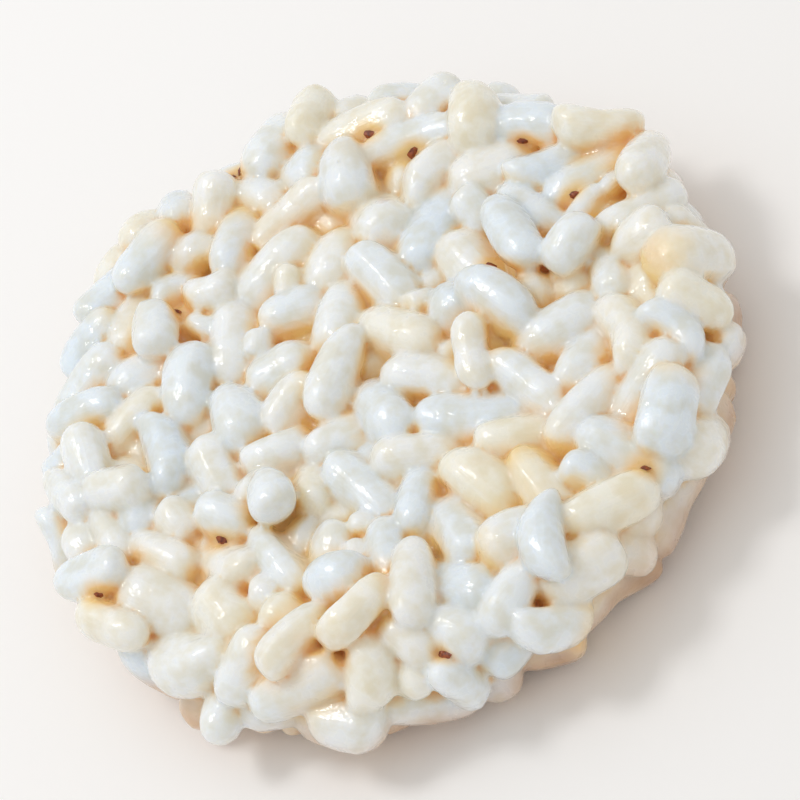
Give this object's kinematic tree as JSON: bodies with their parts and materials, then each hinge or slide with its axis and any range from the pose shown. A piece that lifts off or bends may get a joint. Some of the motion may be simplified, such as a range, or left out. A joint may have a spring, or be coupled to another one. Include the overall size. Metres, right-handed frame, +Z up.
{
  "type": "puffed rice cake",
  "caption": "Round flat cake of plump puffed rice grains set in glossy syrup, with a rounded rim and level faces, lying on its flatter face.",
  "frame": {"origin": "on the resting plane, under the middle of the cake", "axes": "+Z up through the cake's thickness, X and Y across its faces"},
  "size_m": [0.0716, 0.0702, 0.0161],
  "materials": {
    "puffed_rice": "smooth white to cream puffed rice under a thin glossy coat of syrup",
    "syrup": "clear amber syrup set between the grains",
    "bran": "small dark brown flecks of rice bran"
  },
  "bodies": {
    "root": {"rice_cake": "puffed_rice"}
  },
  "joints": []
}
